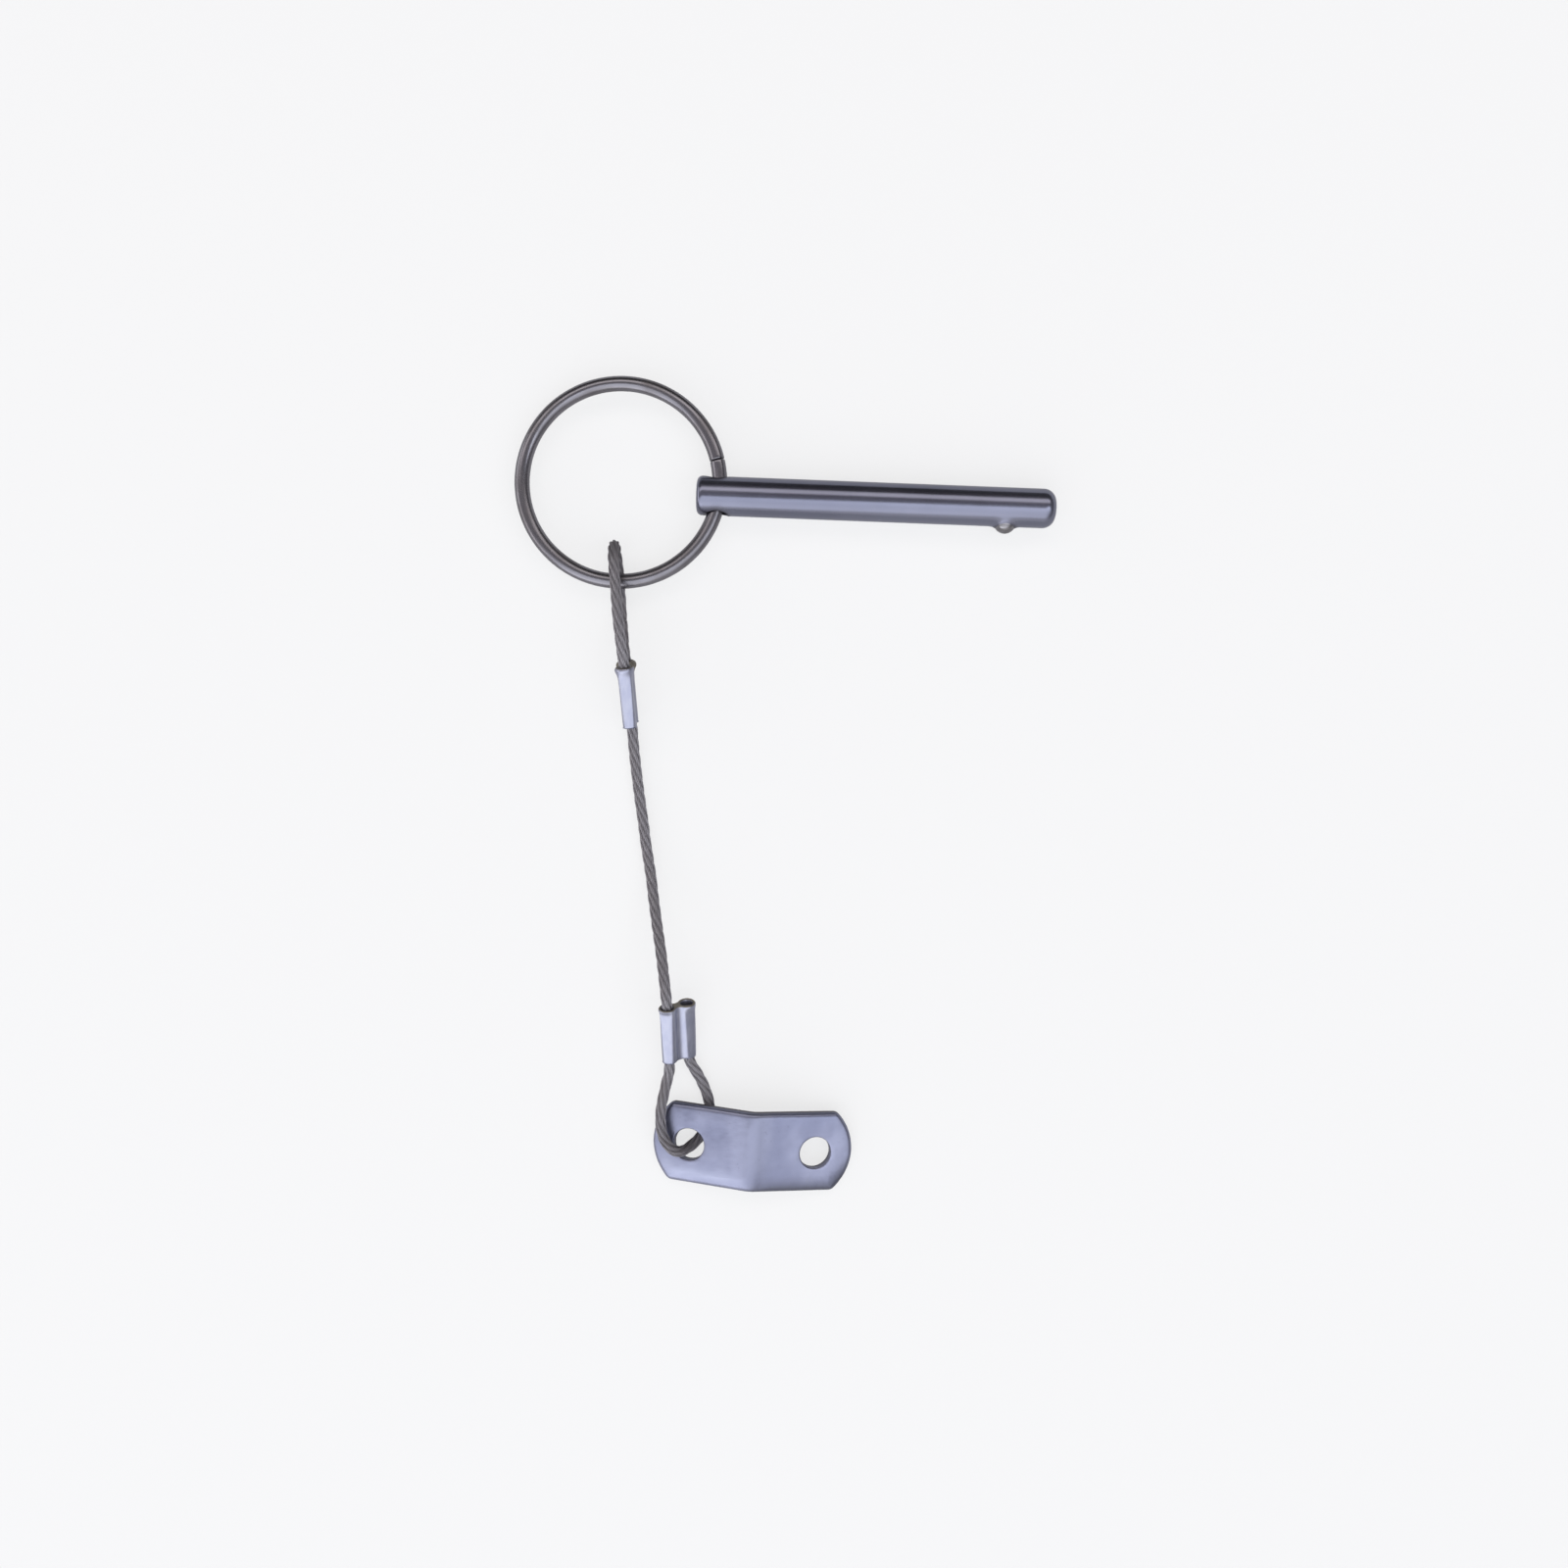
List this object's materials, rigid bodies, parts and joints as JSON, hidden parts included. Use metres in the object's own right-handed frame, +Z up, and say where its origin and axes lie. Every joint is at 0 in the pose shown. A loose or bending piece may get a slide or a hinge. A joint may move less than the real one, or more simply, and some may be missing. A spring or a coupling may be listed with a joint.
{
  "type": "quick-release ring pin with lanyard",
  "caption": "Straight quick-release pin with a sprung detent ball and a pull ring, on a wire rope lanyard with crimped eyes and a bent screw-on anchor tab.",
  "frame": {"origin": "on the pin's axis, midway along the shank", "axes": "+X along the pin towards its tip, +Z up from the table that it lies on, +Y to the left of the tip"},
  "size_m": [0.115, 0.172, 0.0127],
  "materials": {
    "pin_steel": "turned and polished stainless steel",
    "ball_steel": "polished ball steel",
    "spring_steel": "drawn spring wire",
    "ring_steel": "drawn stainless wire, bright",
    "rope_steel": "stainless wire rope",
    "ferrule_aluminium": "crimped aluminium",
    "tab_steel": "tumbled stainless sheet, satin"
  },
  "bodies": {
    "pin": {"pin_shank": "pin_steel", "detent_spring": "spring_steel"},
    "ball": {"detent_ball": "ball_steel"},
    "ring": {"pull_ring": "ring_steel"},
    "lanyard": {"lanyard_upper_eye": "rope_steel", "upper_ferrule": "ferrule_aluminium", "lanyard_span_upper": "rope_steel"},
    "lanyard_end": {"lanyard_span_lower": "rope_steel", "lower_ferrule": "ferrule_aluminium", "lanyard_lower_eye": "rope_steel"},
    "tab": {"anchor_tab": "tab_steel"}
  },
  "joints": [
    {"name": "detent_press", "type": "slide", "parent": "pin", "child": "ball", "axis": [0, 1, 0], "range_m": [0, 0.0015], "stiffness_N_per_m": 1500, "springref_m": -0.0005, "deforming": ["detent_spring"]},
    {"name": "ring_swing", "type": "hinge", "parent": "pin", "child": "ring", "pos_m": [-0.0338, 0, 0], "axis": [0, 1, 0], "range_deg": [-150, 150]},
    {"name": "eye_slide", "type": "hinge", "parent": "ring", "child": "lanyard", "pos_m": [-0.05433, 0.00209, 0.00015], "axis": [0, 0, 1], "range_deg": [-240, 55]},
    {"name": "lanyard_bend", "type": "hinge", "parent": "lanyard", "child": "lanyard_end", "pos_m": [-0.0457, -0.0777, -0.0023], "axis": [0, 0, 1], "range_deg": [-60, 60], "stiffness_Nm_per_rad": 0.03},
    {"name": "tab_swivel", "type": "hinge", "parent": "lanyard_end", "child": "tab", "pos_m": [-0.0346, -0.1379, 0.00025], "axis": [-0.2612, -0.0765, 0.9623], "range_deg": [-150, 20]}
  ]
}
